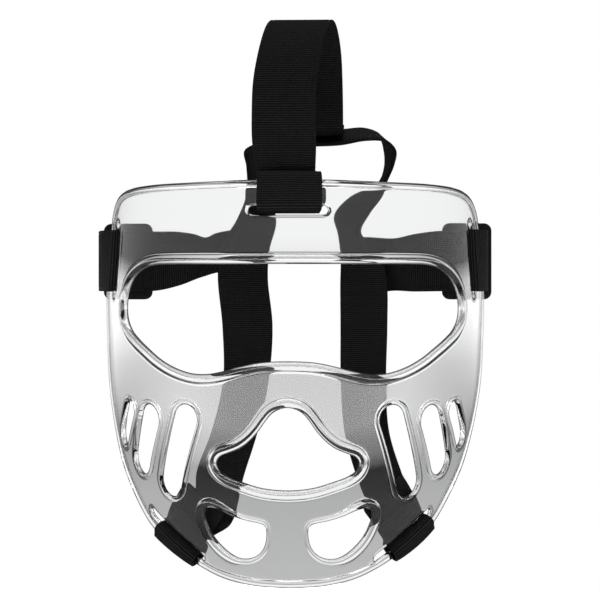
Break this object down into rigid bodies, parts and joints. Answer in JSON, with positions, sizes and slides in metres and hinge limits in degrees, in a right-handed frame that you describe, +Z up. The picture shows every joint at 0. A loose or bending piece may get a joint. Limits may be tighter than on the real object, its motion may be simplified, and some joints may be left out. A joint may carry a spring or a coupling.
{
  "type": "taekwondo face mask",
  "caption": "Clear moulded face shield with a wide eye opening, a nose and mouth opening, vents and cheek slots, worn on the head by a harness of black elastic straps.",
  "frame": {"origin": "the hang point, under the crest of the top strap, where a hook, a peg or the crown of the head carries the mask", "axes": "+Z up, -Y the way the face looks, +X to the right of a viewer in front of the mask"},
  "size_m": [0.2055, 0.1206, 0.2818],
  "materials": {
    "clear_shell": "polished clear polycarbonate",
    "webbing": "matte ribbed elastic webbing",
    "hook_tab": "matte hook tape"
  },
  "bodies": {
    "root": {"shell": "clear_shell", "top_strap": "webbing", "back_strap": "webbing", "side_strap_right": "webbing", "side_strap_left": "webbing", "tab_top": "hook_tab", "tab_side_right": "hook_tab", "tab_side_left": "hook_tab", "tab_lower_right": "hook_tab", "tab_lower_left": "hook_tab"}
  },
  "joints": []
}
